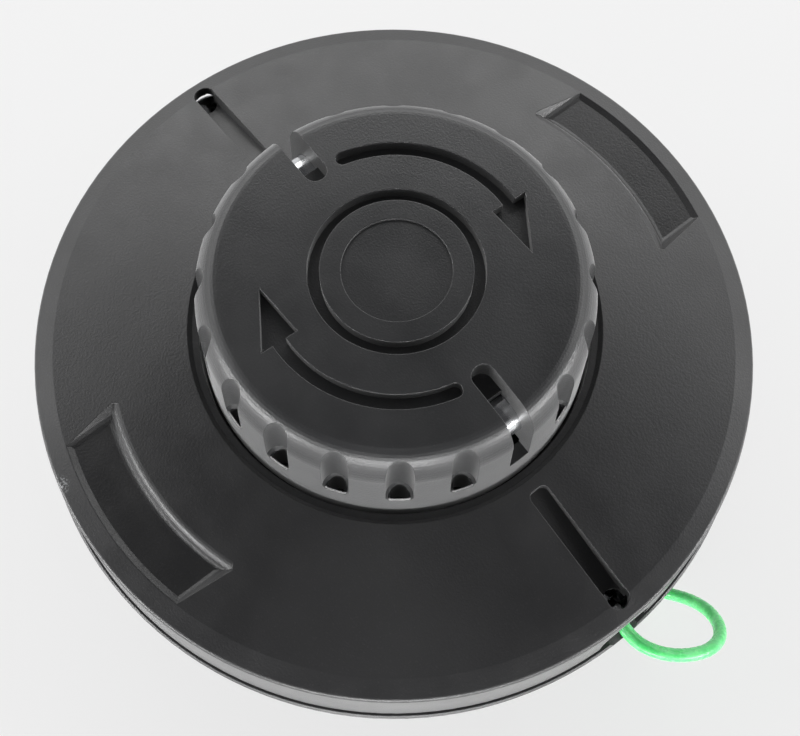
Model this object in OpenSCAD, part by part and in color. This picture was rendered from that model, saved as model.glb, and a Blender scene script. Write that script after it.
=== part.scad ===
// Tap-feed trimmer head, lying on its gearbox side with the bump knob up.
// The origin is on the axis, in the face that meets the gearbox. +Z points to the knob.
// The two line eyelets lie on the X axis and the two finger pockets on the Y axis.

/* [Cover] */
// Radius of the cover at the top of its skirt
head_r = 65; // [63:0.5:70]
// Width of the sloped band along the cover's rim
band_w = 3.7; // [2.5:0.1:5]
// Height that the band gains inwards
band_rise = 1; // [0.7:0.1:1.4]
// Radius of the rounding between the band and the skirt
rim_round = 1; // [0.4:0.1:1.4]
// Height that the cover's cone gains from the band to the centre hole
cone_rise = 4; // [2.5:0.1:5]
// Thickness of the cover's plate and skirt
cover_t = 2.4; // [2:0.1:2.8]
// Height of the cover's skirt
skirt_h = 12.8; // [12:0.1:14]
// Radius that the skirt gains downwards
skirt_flare = 1.1; // [0.4:0.1:1.6]
// Width of the shallow recess around the knob
recess_w = 1.9; // [1.4:0.1:2.2]
// Depth of the recess around the knob
recess_depth = 0.9; // [0.5:0.1:1.2]

/* [Line grooves in the cover] */
// Width of each groove
groove_w = 3.8; // [3:0.1:4.2]
// Depth of the groove at its inner end
groove_in_depth = 1.4; // [1:0.1:1.9]
// Radius of the groove's corners at its inner end
groove_corner = 1.2; // [0.8:0.1:1.4]
// Depth of the groove where it meets the end hole
groove_out_depth = 3.2; // [2.8:0.1:3.4]
// Radius of the end hole
groove_hole_r = 2; // [1.8:0.05:2.2]
// Thickness of the rib's walls under the groove
groove_rib_t = 1; // [0.9:0.05:1.1]

/* [Finger pockets in the cover] */
// Half the length of the pocket's flat floor
pocket_half = 16; // [12:0.1:17]
// Radial width of the pocket
pocket_w = 11.4; // [8:0.1:12]
// Depth of the pocket at its outer edge
pocket_step = 0.5; // [0.3:0.05:0.7]
// Thickness of the cover under the pocket
pocket_t = 1.5; // [1.1:0.05:1.6]
// Run of the pocket's end walls for each millimetre of height
pocket_slope = 1.4; // [0.8:0.1:1.8]
// Radius of the rounding along the top of the pocket's inner wall
pocket_round = 2.6; // [1.6:0.1:3]
// Radius of the fillet along the foot of the pocket's inner wall
pocket_fillet = 1.2; // [0.6:0.1:1.4]
// Run of the pocket's shallow outer wall
pocket_edge = 1.2; // [0.6:0.1:1.6]
// Radius of the pocket's inner corners
pocket_corner = 3.2; // [2:0.1:4]

/* [Knob] */
// Radius of the knob under its shoulder
knob_r = 33.3; // [32:0.1:34.5]
// Radius that the knob gains at its lower edge
knob_draft = 1.05; // [0.5:0.05:1.2]
// Height of the knob's top above the cover's rim
knob_h = 26.2; // [22:0.1:28]
// Width of the knob's rounded shoulder
knob_shoulder = 4.4; // [3:0.1:5.5]
// Height over which the shoulder is rounded
shoulder_h = 7.6; // [5:0.2:9]
// Height of the knob's gently crowned top
knob_crown = 0.7; // [0.3:0.1:1.2]
// Thickness of the knob's wall
knob_wall = 2; // [1.6:0.1:2.4]
// Thickness of the knob's top
knob_top_t = 4.4; // [4:0.1:5]
// Gap between the knob and the cover's hole
knob_gap = 0.5; // [0.4:0.05:0.8]
// Height of the plain ring under the flutes, above the cover
lip_h = 5; // [3:0.1:7]
// Number of places around the knob for flutes, two of which are the slots
grip_n = 20; // [16:2:22]
// Radius of each flute
flute_r = 2.3; // [1.8:0.05:2.5]
// Radius of the drain hole at the foot of each flute
drain_r = 1.5; // [1.1:0.05:1.6]
// Thickness of the ring outside the drain holes
drain_wall = 0.85; // [0.7:0.05:1.1]
// Width of the line slots in the knob
slot_w = 4; // [3.4:0.1:4.4]
// Length of a slot, from the knob's side inwards
slot_l = 12.9; // [12.2:0.1:13.3]
// Depth of the slots' shelf below the knob's top
shelf_depth = 5; // [3:0.1:5.2]
// Length of the slots' open part, from the knob's side in to the shelf
slot_open_l = 8.4; // [7.8:0.1:9.3]
// Turn of the knob on the head, as it was last left
knob_turn = -0.6; // [-4:0.1:4]

/* [Marks on the knob] */
// Radius of the arrows' middle line
arrow_r = 22.1; // [21:0.1:23.5]
// Width of an arrow's shaft
arrow_w = 2.4; // [1.6:0.1:3]
// Width of an arrow's head
arrow_head_w = 6.7; // [5:0.1:7.2]
// Angle that an arrow's head covers
arrow_head_deg = 26; // [18:1:30]
// Angle that an arrow's shaft covers
arrow_shaft_deg = 80; // [60:1:82]
// Depth of the arrows and of the ring
mark_depth = 2.6; // [1.2:0.1:3]
// Middle radius of the plain ring in the knob's centre
ring_r = 13.4; // [9:0.1:14.5]
// Width of the plain ring
ring_w = 2; // [1.4:0.1:2.4]

/* [Spool and winding] */
// Height of each of the two line chambers
chamber_h = 7.2; // [6.8:0.1:7.8]
// Thickness of the spool's outer flanges
flange_t = 1.8; // [1.4:0.1:2.2]
// Thickness of the flange between the chambers
middle_t = 1.5; // [1.2:0.1:2]
// Gap between the spool's flanges and the housing's wall
spool_gap = 6; // [5:0.1:7]
// Room for the pawls, between the ratchet's teeth and the spool's hub
pawl_room = 3; // [2.8:0.1:3.6]
// Thickness of the hub's wall
hub_t = 2.6; // [2:0.1:3.2]
// Diameter of the cutting line
line_d = 2.4; // [2:0.1:2.7]
// Layers of line on the spool
line_layers = 8; // [5:1:9]
// Travel of the knob when it is bumped
bump_travel = 5; // [4.4:0.1:5.4]

/* [Housing] */
// Thickness of the housing's floor and wall
housing_t = 2.4; // [2:0.1:2.8]
// Height of the housing's floor above the gearbox face
floor_z = 13; // [12.5:0.1:15]
// Radius of the boss that meets the gearbox
boss_r = 19; // [17.5:0.1:21]
// Thickness of the housing's outer flange
flange_h = 4.3; // [3.4:0.1:5]
// Number of ribs under the housing
rib_n = 12; // [8:2:16]
// Thickness of a rib
rib_t = 1.8; // [1.4:0.1:2.2]
// Radius of the post that the spool turns on
post_r = 10.6; // [10.4:0.1:10.9]

/* [Metal parts] */
// Radius of the arbor insert's bore, the minor radius of an M10 x 1.25 left-hand thread
thread_r = 4.32; // [4.1:0.01:4.5]
// Radius of the arbor insert's round body
insert_r = 7; // [6.8:0.1:7.4]
// Width of the arbor insert's hexagonal collar across its flats
insert_af = 16; // [15.6:0.1:16.6]
// Length of the arbor insert
insert_l = 20; // [16:0.5:22]
// Wire diameter of the feed spring
wire_d = 1.6; // [1.2:0.1:1.7]
// Turns of the feed spring
spring_turns = 6; // [4:1:7]
// Bore radius of the line eyelets
eyelet_bore = 1.7; // [1.5:0.05:1.8]
// Radius of the eyelets' flared lips
eyelet_lip_r = 4.7; // [4.2:0.1:4.8]
// Depth of the eyelets' axis below the cover's rim
eyelet_drop = 9; // [8.8:0.1:9.4]
// Radius of the polished guide pins in the knob
guide_r = 3.8; // [3.4:0.1:4]
// Distance from the knob's side in to the middle of a guide pin
guide_in = 6.3; // [6.1:0.1:6.7]
// Depth of a guide pin's top below the knob's top
guide_sink = 6.2; // [5:0.1:7]

/* [Ratchet] */
// Teeth in each row of the ratchet ring
tooth_n = 12; // [8:1:16]
// Height of a tooth
tooth_h = 2; // [1.4:0.1:2.2]
// Gap between the teeth and the lifted pawls
pawl_gap = 0.25; // [0.15:0.05:0.35]

/* [Hidden] */
$fn = 96;
cut = 0.5;            // how far a cutting shape reaches past a face
fit_gap = 0.1;        // gap between pieces that slide or turn on each other
seat_gap = 0.05;      // gap around a piece that is pressed or moulded in
stop_gap = 0.3;       // gap at the stops
edge = 0.4;           // small rounding and chamfer of moulded edges

// Heights, from the gearbox face upwards
floor_gap = 0.7;      // room left under the spool when the knob is bumped
spool_z = floor_z + bump_travel + floor_gap;
spool_h = 2 * flange_t + middle_t + 2 * chamber_h;
spool_top = spool_z + spool_h;
cover_over_spool = 1.8;
rim_z = spool_top + cover_over_spool;
parting_z = rim_z - skirt_h;
face_z = rim_z + band_rise;
hole_z = face_z + cone_rise;
recess_z = hole_z - recess_depth;
knob_top = rim_z + knob_h;
knob_lift = 3.1;      // height of the knob's lower edge above the spool
knob_bottom = spool_top + knob_lift;
eyelet_z = rim_z - eyelet_drop;

// Radii of the cover
face_r = head_r - band_w;
skirt_r = head_r + skirt_flare;
knob_foot_r = knob_r + knob_draft;
hole_r = knob_foot_r + knob_gap;
recess_r = hole_r + recess_w;
collar_t = 2.2;
collar_z = spool_top + stop_gap;
function face_at(r) = face_z + cone_rise * (face_r - r) / (face_r - recess_r);

// Radii from the post outwards: the spring, the ratchet's sleeve and teeth, and the spool's hub
spring_play = 0.5;    // gap between the post and the spring
spring_in_r = post_r + spring_play;
spring_mean_r = spring_in_r + wire_d / 2;
spring_out_r = spring_in_r + wire_d;
sleeve_play = 1.1;    // gap between the spring and the ratchet's sleeve
sleeve_t = 1.2;       // thickness of the ratchet's sleeve
ratchet_in_r = spring_out_r + sleeve_play;
ratchet_out_r = ratchet_in_r + sleeve_t;
tooth_tip_r = ratchet_out_r + tooth_h;
hub_r = tooth_tip_r + pawl_room;
hub_out_r = hub_r + hub_t;

// Places of the knob's slots and guide pins
slot_in_r = knob_r - slot_l;
shelf_r = knob_r - slot_open_l;
guide_at = knob_r - guide_in;

// Radii of the housing and the spool
latch_room = 3.2;     // room between the housing's wall and the cover's skirt
wall_out_r = head_r - cover_t - latch_room;
wall_in_r = wall_out_r - housing_t;
wall_top = face_at(wall_out_r) - cover_t - stop_gap;
housing_flange_r = skirt_r + 0.8;
flange_r = wall_in_r - spool_gap;
post_rise = 3.3;      // height of the post's end above the spool
post_top = spool_top + post_rise;
web_z = spool_top - flange_t;

// A rounded corner as a list of points, from angle a to angle b
function arc(c, r, a, b, n = 6) = [for (i = [0:n]) c + r * [cos(a + (b - a) * i / n), sin(a + (b - a) * i / n)]];
// A soft step from 0 to 1
function ease(t) = (1 - cos(180 * t)) / 2;
// A point on a circle around the axis
function polar(r, a) = [r * cos(a), r * sin(a)];

// A pair of children, one on each side of the head
module both_sides() {
    children();
    rotate(180) children();
}

// A flat sector of a ring, from angle a to angle b
module ring_sector(r_in, r_out, a, b) {
    far = r_out / cos((b - a) / 4) * 1.05;
    intersection() {
        difference() {
            circle(r_out);
            circle(r_in);
        }
        polygon([[0, 0], for (i = [0:2]) polar(far, a + (b - a) * i / 2)]);
    }
}

// Housing: the bowl that screws onto the gearbox shaft, with its post, wall and ribs
boss_pocket_in = post_r + 2;
boss_pocket_out = boss_r - 2.6;
boss_pocket_h = floor_z - housing_t - 2.4;
under_z = floor_z - housing_t;
foot_r = wall_in_r - 4;
slot_half = 3.2;      // half width of the slots that hold the eyelets
latch_half = 7;
post_cap_t = 3;       // thickness of the post's closed end
shaft_room_r = thread_r + 0.8;
core_taper = 0.25;    // radius that the room over the shaft's end gains towards the insert
latch_z = parting_z + 1.6;
latch_h = 4;

housing_outline = [
    [0, 0], [boss_r - 1, 0], [boss_r, 1], [boss_r + 0.6, under_z - 1.6], [boss_r + 2.4, under_z],
    [foot_r, under_z], [foot_r + 3.2, floor_z + 0.4],
    [wall_out_r, parting_z - flange_h - 1.4], [wall_out_r + 1.4, parting_z - flange_h],
    [housing_flange_r - 1, parting_z - flange_h + 0.5], [housing_flange_r, parting_z - flange_h + 1.6],
    [housing_flange_r, parting_z - fit_gap - edge], [housing_flange_r - edge, parting_z - fit_gap],
    [wall_out_r, parting_z - fit_gap], [wall_out_r, wall_top],
    [wall_in_r, wall_top], [wall_in_r, parting_z], [foot_r + 1.2, floor_z + 1.2], [foot_r, floor_z],
    [post_r, floor_z], [post_r, post_top - 0.8], [post_r - 0.8, post_top], [0, post_top]
];

module housing_ribs() {
    for (i = [0:rib_n - 1])
        rotate((i + 0.5) * 360 / rib_n)
            rotate([90, 0, 0])
                translate([0, 0, -rib_t / 2])
                    linear_extrude(rib_t)
                        polygon([
                            [boss_r - edge, 2.6], [boss_r + 3, 3.4], [foot_r - 2, under_z - 0.8],
                            [foot_r, under_z + edge], [boss_r - edge, under_z + edge]
                        ]);
}

module housing() {
    color("#28292b")
        difference() {
            union() {
                rotate_extrude() polygon(housing_outline);
                housing_ribs();
            }
            // Ring pocket in the boss
            translate([0, 0, -cut])
                difference() {
                    cylinder(h = boss_pocket_h + cut, r = boss_pocket_out);
                    translate([0, 0, -cut]) cylinder(h = boss_pocket_h + 3 * cut, r = boss_pocket_in);
                }
            // Seat of the arbor insert, and room for the shaft's end above it
            insert_shape(seat_gap, cut);
            translate([0, 0, insert_l - cut])
                cylinder(h = post_top - insert_l - post_cap_t, r1 = shaft_room_r + core_taper, r2 = shaft_room_r);
            both_sides() {
                // Slot that takes the eyelet from above
                translate([wall_in_r - 2, -slot_half, eyelet_z])
                    cube([wall_out_r - wall_in_r + 4, 2 * slot_half, wall_top - eyelet_z + cut]);
                translate([wall_in_r - 2, 0, eyelet_z])
                    rotate([0, 90, 0]) cylinder(h = wall_out_r - wall_in_r + 4, r = slot_half);
                // Hollow in the flange under the eyelet's outer lip
                translate([wall_out_r + 1, 0, eyelet_z])
                    rotate([0, 90, 0]) cylinder(h = housing_flange_r - wall_out_r, r = eyelet_lip_r + stop_gap);
                // Window for the cover's latch
                translate([-latch_half - stop_gap, wall_in_r - 2, latch_z - stop_gap])
                    cube([2 * (latch_half + stop_gap), housing_t + 3, latch_h + 2 * stop_gap]);
                // Keys of the ratchet ring
                ratchet_key(stop_gap);
            }
        }
}

// Arbor insert: a round steel bush with a hexagonal collar, moulded into the post
insert_collar_h = 4;

module insert_shape(gap, below) {
    translate([0, 0, -below]) cylinder(h = insert_l + below + gap, r = insert_r + gap);
    translate([0, 0, insert_l / 2 - gap])
        rotate(30) cylinder(h = insert_collar_h + 2 * gap, r = insert_af / 2 / cos(30) + gap, $fn = 6);
}

module arbor_insert() {
    mouth = 0.8;
    color("#b9bcc0")
        difference() {
            insert_shape(0, 0);
            translate([0, 0, -cut]) cylinder(h = insert_l + 2 * cut, r = thread_r);
            translate([0, 0, -cut]) cylinder(h = mouth + cut, r1 = thread_r + mouth + cut, r2 = thread_r);
        }
}

// Ratchet ring: a toothed sleeve keyed to the floor, with a holding row and a feeding row
ratchet_base_t = 1.6;
upper_row_z = spool_z + 3.3;
lower_row_z = floor_z + ratchet_base_t + 0.2;
row_gap = 0.6;
upper_row_h = bump_travel + 1.4;
pawl_z = upper_row_z + row_gap;
pawl_h = bump_travel - 2 * row_gap + 0.2;
key_w = 4;
key_h = 1.2;

module tooth_row(turn) {
    pitch = 360 / tooth_n;
    rotate(turn)
        difference() {
            polygon([
                for (i = [0:tooth_n - 1]) each [
                    polar(tooth_tip_r, i * pitch), polar(tooth_tip_r, i * pitch + pitch * 0.12),
                    polar(ratchet_out_r + tooth_h * 0.4, i * pitch + pitch * 0.6),
                    polar(ratchet_out_r, i * pitch + pitch * 0.96)
                ]
            ]);
            circle(ratchet_in_r);
        }
}

module ratchet_key(gap) {
    translate([ratchet_out_r - gap, -key_w / 2 - gap, floor_z - key_h - gap])
        cube([tooth_h + 2 * gap, key_w + 2 * gap, key_h + gap + (gap > 0 ? cut : 0)]);
}

module ratchet_ring() {
    color("#d9d5c8") {
        difference() {
            translate([0, 0, floor_z])
                cylinder(h = upper_row_z + upper_row_h - floor_z, r = ratchet_out_r);
            translate([0, 0, floor_z - cut])
                cylinder(h = upper_row_z + upper_row_h - floor_z + 2 * cut, r = ratchet_in_r);
        }
        translate([0, 0, floor_z])
            linear_extrude(ratchet_base_t)
                difference() {
                    circle(tooth_tip_r + 0.8);
                    circle(ratchet_in_r);
                }
        translate([0, 0, lower_row_z]) linear_extrude(upper_row_z - row_gap - lower_row_z) tooth_row(180 / tooth_n);
        translate([0, 0, upper_row_z]) linear_extrude(upper_row_h) tooth_row(0);
        both_sides() ratchet_key(0);
    }
}

// Spring seat: a hardened washer under the feed spring
seat_t = 0.8;

module spring_seat() {
    color("#8d9094")
        translate([0, 0, floor_z])
            difference() {
                cylinder(h = seat_t, r = ratchet_in_r - 0.2);
                translate([0, 0, -cut]) cylinder(h = seat_t + 2 * cut, r = post_r + 0.2);
            }
}

// Spring cap: the thrust ring between the spring, which stands still, and the turning spool
cap_t = 1.5;
cap_rim = 1.9;        // width of the cap outside the spring
cap_out_r = spring_out_r + cap_rim;
cap_top = web_z - fit_gap;
cap_lip = 0.7;

module spring_cap() {
    color("#d9d5c8")
        difference() {
            translate([0, 0, cap_top - cap_t - cap_lip]) cylinder(h = cap_t + cap_lip, r = cap_out_r);
            translate([0, 0, cap_top - cap_t - cap_lip - cut])
                cylinder(h = cap_lip + cut, r = spring_out_r + 0.2);
            translate([0, 0, cap_top - cap_t - cap_lip - cut])
                cylinder(h = cap_t + cap_lip + 2 * cut, r = post_r + 0.15);
        }
}

// Feed spring: a helix with its end turns lying flat on the washer and the cap
spring_z0 = floor_z + seat_t;
spring_z1 = cap_top - cap_t;
wire_sides = 8;
rings_per_turn = 20;

// Height along the helix: the end turns lie close on their neighbours, the others are spread
function spring_rise(t) =
    let (
        close = wire_d * 1.08,
        span = spring_z1 - spring_z0 - wire_d - 2 * seat_gap,
        pitch = (span - 2 * close) / (spring_turns - 2)
    )
    t < 1 ? close * t : t > spring_turns - 1 ? span - close * (spring_turns - t) : close + pitch * (t - 1);
function spring_point(t) = [
    spring_mean_r * cos(360 * t), spring_mean_r * sin(360 * t),
    spring_z0 + wire_d / 2 + seat_gap + spring_rise(t)
];

module feed_spring() {
    n = spring_turns * rings_per_turn;
    points = [
        for (i = [0:n], j = [0:wire_sides - 1])
            let (
                p = spring_point(i / rings_per_turn),
                out = [cos(360 * i / rings_per_turn), sin(360 * i / rings_per_turn), 0],
                a = 360 * (j + 0.5) / wire_sides,
                r = wire_d / 2 / cos(180 / wire_sides) * 0.98
            )
            p + r * (cos(a) * out + [0, 0, sin(a)])
    ];
    faces = [
        [for (j = [0:wire_sides - 1]) j],
        for (i = [0:n - 1], j = [0:wire_sides - 1])
            [i * wire_sides + j, (i + 1) * wire_sides + j,
             (i + 1) * wire_sides + (j + 1) % wire_sides, i * wire_sides + (j + 1) % wire_sides],
        [for (j = [wire_sides - 1:-1:0]) n * wire_sides + j]
    ];
    color("#a9acb0") polyhedron(points, faces, convexity = 8);
}

// Cover: the wide disc with its skirt, two line grooves, two finger pockets and two latches
groove_in_r = recess_r + 2;
groove_end_r = face_r - 0.5;
rib_z = face_at(groove_end_r) - groove_out_depth - 1.4;
pocket_out_r = face_r - 0.2;
pocket_in_r = pocket_out_r - pocket_w;
pocket_z = face_z - pocket_step;
pocket_steps = 6;
pocket_wall_h = face_at(pocket_in_r) - pocket_z;
pocket_lean = 25;     // how far the inner wall leans from upright
cone_lean = atan(cone_rise / (face_r - recess_r));
pocket_poke = 0.03;   // how far the rounding's circle stands out of the cover's face
pocket_end = pocket_half + pocket_slope * pocket_wall_h;
pocket_corner_x = pocket_end - 0.5 - pocket_corner;
pocket_corner_y = sqrt(pow(pocket_in_r - 0.4 + pocket_corner, 2) - pow(pocket_corner_x, 2));
pocket_corner_a = atan2(pocket_corner_y, pocket_corner_x);
latch_r = wall_out_r + 0.6;
latch_t = 1.5;
eyelet_room = eyelet_lip_r + 0.6;
eyelet_skin = 0.8;    // how far the eyelet's room stays inside the skirt's upper radius
hook_reach = housing_t - 0.2;

rim_slope = atan(band_rise / band_w);
cover_outline = concat(
    [[hole_r, collar_z], [hole_r, recess_z], [recess_r - 0.7, recess_z]],
    [[recess_r, hole_z], [face_r, face_z]],
    arc([head_r - rim_round, rim_z - rim_round], rim_round, 90 - rim_slope, 5),
    [
        [skirt_r, parting_z + edge], [skirt_r - edge, parting_z], [skirt_r - cover_t, parting_z],
        [head_r - cover_t, rim_z - 1.4], [head_r - cover_t - 1.4, face_z - cover_t],
        [hole_r + collar_t, face_at(hole_r + collar_t) - cover_t], [hole_r + collar_t, collar_z]
    ]
);

module cover_groove() {
    half = groove_w / 2;
    intersection() {
        // The groove's floor runs down from the inner end to the end hole
        rotate([90, 0, 0])
            translate([0, 0, -half])
                linear_extrude(groove_w)
                    polygon([
                        [groove_in_r, face_at(groove_in_r) - groove_in_depth],
                        [groove_end_r - groove_hole_r, face_at(groove_end_r) - groove_out_depth],
                        [groove_end_r, face_at(groove_end_r) - groove_out_depth],
                        [groove_end_r, hole_z + 2], [groove_in_r, hole_z + 2]
                    ]);
        // Its inner corners are round
        translate([0, 0, rib_z])
            linear_extrude(hole_z + 3 - rib_z)
                polygon(concat(
                    arc([groove_in_r + groove_corner, groove_corner - half], groove_corner, 270, 180),
                    arc([groove_in_r + groove_corner, half - groove_corner], groove_corner, 180, 90),
                    [[groove_end_r + 1, half], [groove_end_r + 1, -half]]
                ));
    }
    translate([groove_end_r, 0, rib_z - cut]) cylinder(h = hole_z + 2 - rib_z, r = groove_hole_r);
}

module cover_groove_rib() {
    half = groove_w / 2 + groove_rib_t;
    intersection() {
        translate([hole_r + 1, -half, rib_z])
            cube([groove_end_r + groove_hole_r + groove_rib_t - hole_r - 1, 2 * half, hole_z - rib_z]);
        rotate_extrude()
            polygon([
                [hole_r + 1, face_at(hole_r + 1) - cover_t - 0.2], [hole_r + 1, recess_z - 0.5],
                [face_r, face_z - 0.5], [face_r, rib_z], [groove_end_r - groove_hole_r - 2, rib_z],
                [flange_r + 0.6, spool_top + 0.8]
            ]);
    }
}

// The space of a finger pocket: a level floor cut into the cone, with soft walls
pocket_end_wall = [for (i = [0:pocket_steps]) [
    pocket_half + (pocket_end - pocket_half) * i / pocket_steps,
    pocket_z + (pocket_wall_h + 0.2) * ease(i / pocket_steps)
]];

// Half section of the pocket: the inner wall is rounded into the cover's face and into the floor
pocket_way = [cos(pocket_lean), sin(pocket_lean)];
pocket_round_at = [pocket_in_r, face_at(pocket_in_r) - (pocket_round - pocket_poke) / cos(cone_lean)];
pocket_wall_at = pocket_round_at + pocket_round * pocket_way;
pocket_drop = (pocket_wall_at[1] - pocket_z - pocket_fillet * (1 - sin(pocket_lean))) / cos(pocket_lean);
pocket_fillet_at = pocket_wall_at + pocket_drop * [sin(pocket_lean), -cos(pocket_lean)] + pocket_fillet * pocket_way;

module cover_pocket() {
    top = hole_z + 2;
    intersection() {
        rotate_extrude()
            polygon(concat(
                [[pocket_in_r, top]],
                arc(pocket_round_at, pocket_round, 90 - cone_lean, pocket_lean),
                arc(pocket_fillet_at, pocket_fillet, 180 + pocket_lean, 270, 3),
                [[pocket_out_r + 0.2 - pocket_edge, pocket_z], [pocket_out_r + 0.2, face_z + 0.1]],
                [[pocket_out_r + 0.2, top]]
            ));
        translate([0, head_r, 0])
            rotate([90, 0, 0])
                linear_extrude(head_r)
                    polygon(concat(
                        pocket_end_wall, [[pocket_end, top], [-pocket_end, top]],
                        [for (i = [pocket_steps:-1:0]) [-pocket_end_wall[i][0], pocket_end_wall[i][1]]]
                    ));
        translate([0, 0, pocket_z - cut])
            linear_extrude(top - pocket_z + 2 * cut)
                polygon(concat(
                    arc([pocket_corner_x, pocket_corner_y], pocket_corner, 180 + pocket_corner_a, 360),
                    [[pocket_corner_x + pocket_corner, head_r], [-pocket_corner_x - pocket_corner, head_r]],
                    arc([-pocket_corner_x, pocket_corner_y], pocket_corner, 180, 360 - pocket_corner_a)
                ));
    }
}

// The cover's bulge under a finger pocket
module cover_pocket_pad() {
    half = pocket_half + 3;
    intersection() {
        translate([-half, 0, pocket_z - pocket_t]) cube([2 * half, head_r, hole_z - pocket_z]);
        rotate_extrude()
            polygon([
                [pocket_in_r - 0.6, face_at(pocket_in_r) - 0.6], [pocket_in_r + 1, pocket_z - pocket_t],
                [head_r - cover_t, pocket_z - pocket_t], [head_r - cover_t, pocket_z - 0.4],
                [pocket_out_r, pocket_z - 0.4]
            ]);
    }
}

module cover_latch() {
    top = face_at(wall_out_r) - cover_t + edge;
    translate([-latch_half, latch_r, latch_z]) cube([2 * latch_half, latch_t, top - latch_z]);
    rotate([90, 0, 90])
        translate([0, 0, -latch_half])
            linear_extrude(2 * latch_half)
                polygon([
                    [latch_r + edge, latch_z], [latch_r, latch_z],
                    [latch_r - hook_reach, latch_z + latch_h - 1.4], [latch_r - hook_reach, latch_z + latch_h - stop_gap],
                    [latch_r + edge, latch_z + latch_h - stop_gap]
                ]);
}

module cover() {
    color("#2c2d2f")
        difference() {
            union() {
                rotate_extrude() polygon(cover_outline);
                both_sides() cover_groove_rib();
                both_sides() cover_pocket_pad();
                both_sides() cover_latch();
            }
            both_sides() {
                cover_groove();
                cover_pocket();
                // Room for the eyelet inside the skirt, and the arch where the line comes out
                translate([head_r - cover_t - 1, -eyelet_room, parting_z - cut])
                    cube([1 + cover_t - eyelet_skin, 2 * eyelet_room, face_z - cover_t - edge - parting_z + cut]);
                translate([head_r - cover_t - 1, 0, eyelet_z])
                    rotate([0, 90, 0]) cylinder(h = cover_t + skirt_flare + 2, r = eyelet_room);
                translate([head_r - cover_t - 1, -eyelet_room, parting_z - cut])
                    cube([cover_t + skirt_flare + 2, 2 * eyelet_room, eyelet_z - parting_z + cut]);
            }
        }
}

// Eyelets: turned steel bushes with a flared lip at both ends, held in the housing's slots
eyelet_neck_r = slot_half - fit_gap;
eyelet_in_x = wall_in_r - 1.7;
eyelet_out_x = head_r - 0.5;

module eyelet() {
    color("#c9ccd0")
        translate([0, 0, eyelet_z])
            rotate([0, 90, 0])
                rotate_extrude()
                    polygon(concat(
                        [[eyelet_bore, eyelet_in_x + 1.6], [eyelet_bore + 0.5, eyelet_in_x + 0.5]],
                        [[eyelet_bore + 1.3, eyelet_in_x], [eyelet_lip_r - 0.5, eyelet_in_x]],
                        [[eyelet_lip_r, eyelet_in_x + 0.5], [eyelet_lip_r, wall_in_r - fit_gap - 0.2]],
                        [[eyelet_neck_r, wall_in_r - fit_gap - 0.2], [eyelet_neck_r, wall_out_r + fit_gap + 0.6]],
                        [[eyelet_lip_r - 0.6, wall_out_r + 2.2]],
                        arc([eyelet_lip_r - 0.8, eyelet_out_x - 0.8], 0.8, 0, 120, 5),
                        [[eyelet_bore + 0.7, eyelet_out_x - 1.6], [eyelet_bore, eyelet_out_x - 3]]
                    ));
}

module eyelet_front() { eyelet(); }
module eyelet_rear() { rotate(180) eyelet(); }

// Spool: two line chambers on a hub, hung from a web that turns on the housing's post
hub_web_r = post_r + fit_gap;
window_in = hub_r - 3.1;
window_out = hub_r - 0.3;
window_deg = 24;

module spool() {
    color("#34353a")
        difference() {
            rotate_extrude()
                polygon([
                    [hub_r, spool_z], [flange_r - edge, spool_z], [flange_r, spool_z + flange_t / 2],
                    [flange_r - edge, spool_z + flange_t], [hub_out_r, spool_z + flange_t],
                    [hub_out_r, spool_z + flange_t + chamber_h], [flange_r - 1, spool_z + flange_t + chamber_h],
                    [flange_r - 1, spool_z + flange_t + chamber_h + middle_t],
                    [hub_out_r, spool_z + flange_t + chamber_h + middle_t], [hub_out_r, web_z],
                    [flange_r - edge, web_z], [flange_r, web_z + flange_t / 2], [flange_r - edge, spool_top],
                    [hub_web_r, spool_top], [hub_web_r, web_z], [hub_r, web_z]
                ]);
            // Notches that hold the line's end while the head is filled
            for (a = [45, 225])
                rotate(a)
                    translate([flange_r - 1, 0, spool_z + flange_t + chamber_h / 2])
                        cylinder(h = spool_h, r = 2.6);
            // Line holes through the hub
            for (a = [0, 180], z = [0, 1])
                rotate(a + 90 * z)
                    translate([0, 0, spool_z + flange_t + chamber_h / 2 + z * (chamber_h + middle_t)])
                        rotate([0, 90, 0]) cylinder(h = hub_out_r + 2, r = line_d / 2 + 0.4);
            // Windows for the knob's legs
            for (a = [45:90:315])
                translate([0, 0, web_z - cut])
                    linear_extrude(flange_t + 2 * cut)
                        ring_sector(window_in, window_out, a - window_deg / 2, a + window_deg / 2);
        }
}

// Pawl ring: three springy arms pressed into the hub, drawn lifted as their tips pass the teeth
pawl_arm_in = tooth_tip_r + pawl_gap;

module pawl_ring() {
    ring_in = hub_r - 1.2;
    color("#d9d5c8")
        translate([0, 0, pawl_z])
            linear_extrude(pawl_h) {
                difference() {
                    circle(hub_r - seat_gap);
                    circle(ring_in);
                }
                for (a = [0:120:240]) {
                    ring_sector(pawl_arm_in + 0.5, ring_in + seat_gap, a + 62, a + 70);
                    ring_sector(pawl_arm_in + 0.5, ring_in - 0.4, a + 8, a + 66);
                    ring_sector(pawl_arm_in, ring_in - 0.4, a + 4, a + 12);
                }
            }
}

// Windings: the line in each chamber, with its outer turns showing as ridges
wind_in_r = hub_out_r + seat_gap;
wind_out_r = hub_out_r + line_layers * line_d;
turns_high = floor(chamber_h / line_d + 0.01);

module winding(z) {
    side = (chamber_h - turns_high * line_d) / 2;
    color("#46d46c")
        translate([0, 0, z + seat_gap])
            rotate_extrude() {
                translate([wind_in_r, 0])
                    square([wind_out_r - line_d / 2 - wind_in_r, chamber_h - 2 * seat_gap]);
                for (i = [0:turns_high - 1])
                    translate([wind_out_r - line_d / 2, side + (i + 0.5) * line_d - seat_gap])
                        circle(line_d / 2 - seat_gap, $fn = 32);
            }
}

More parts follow.
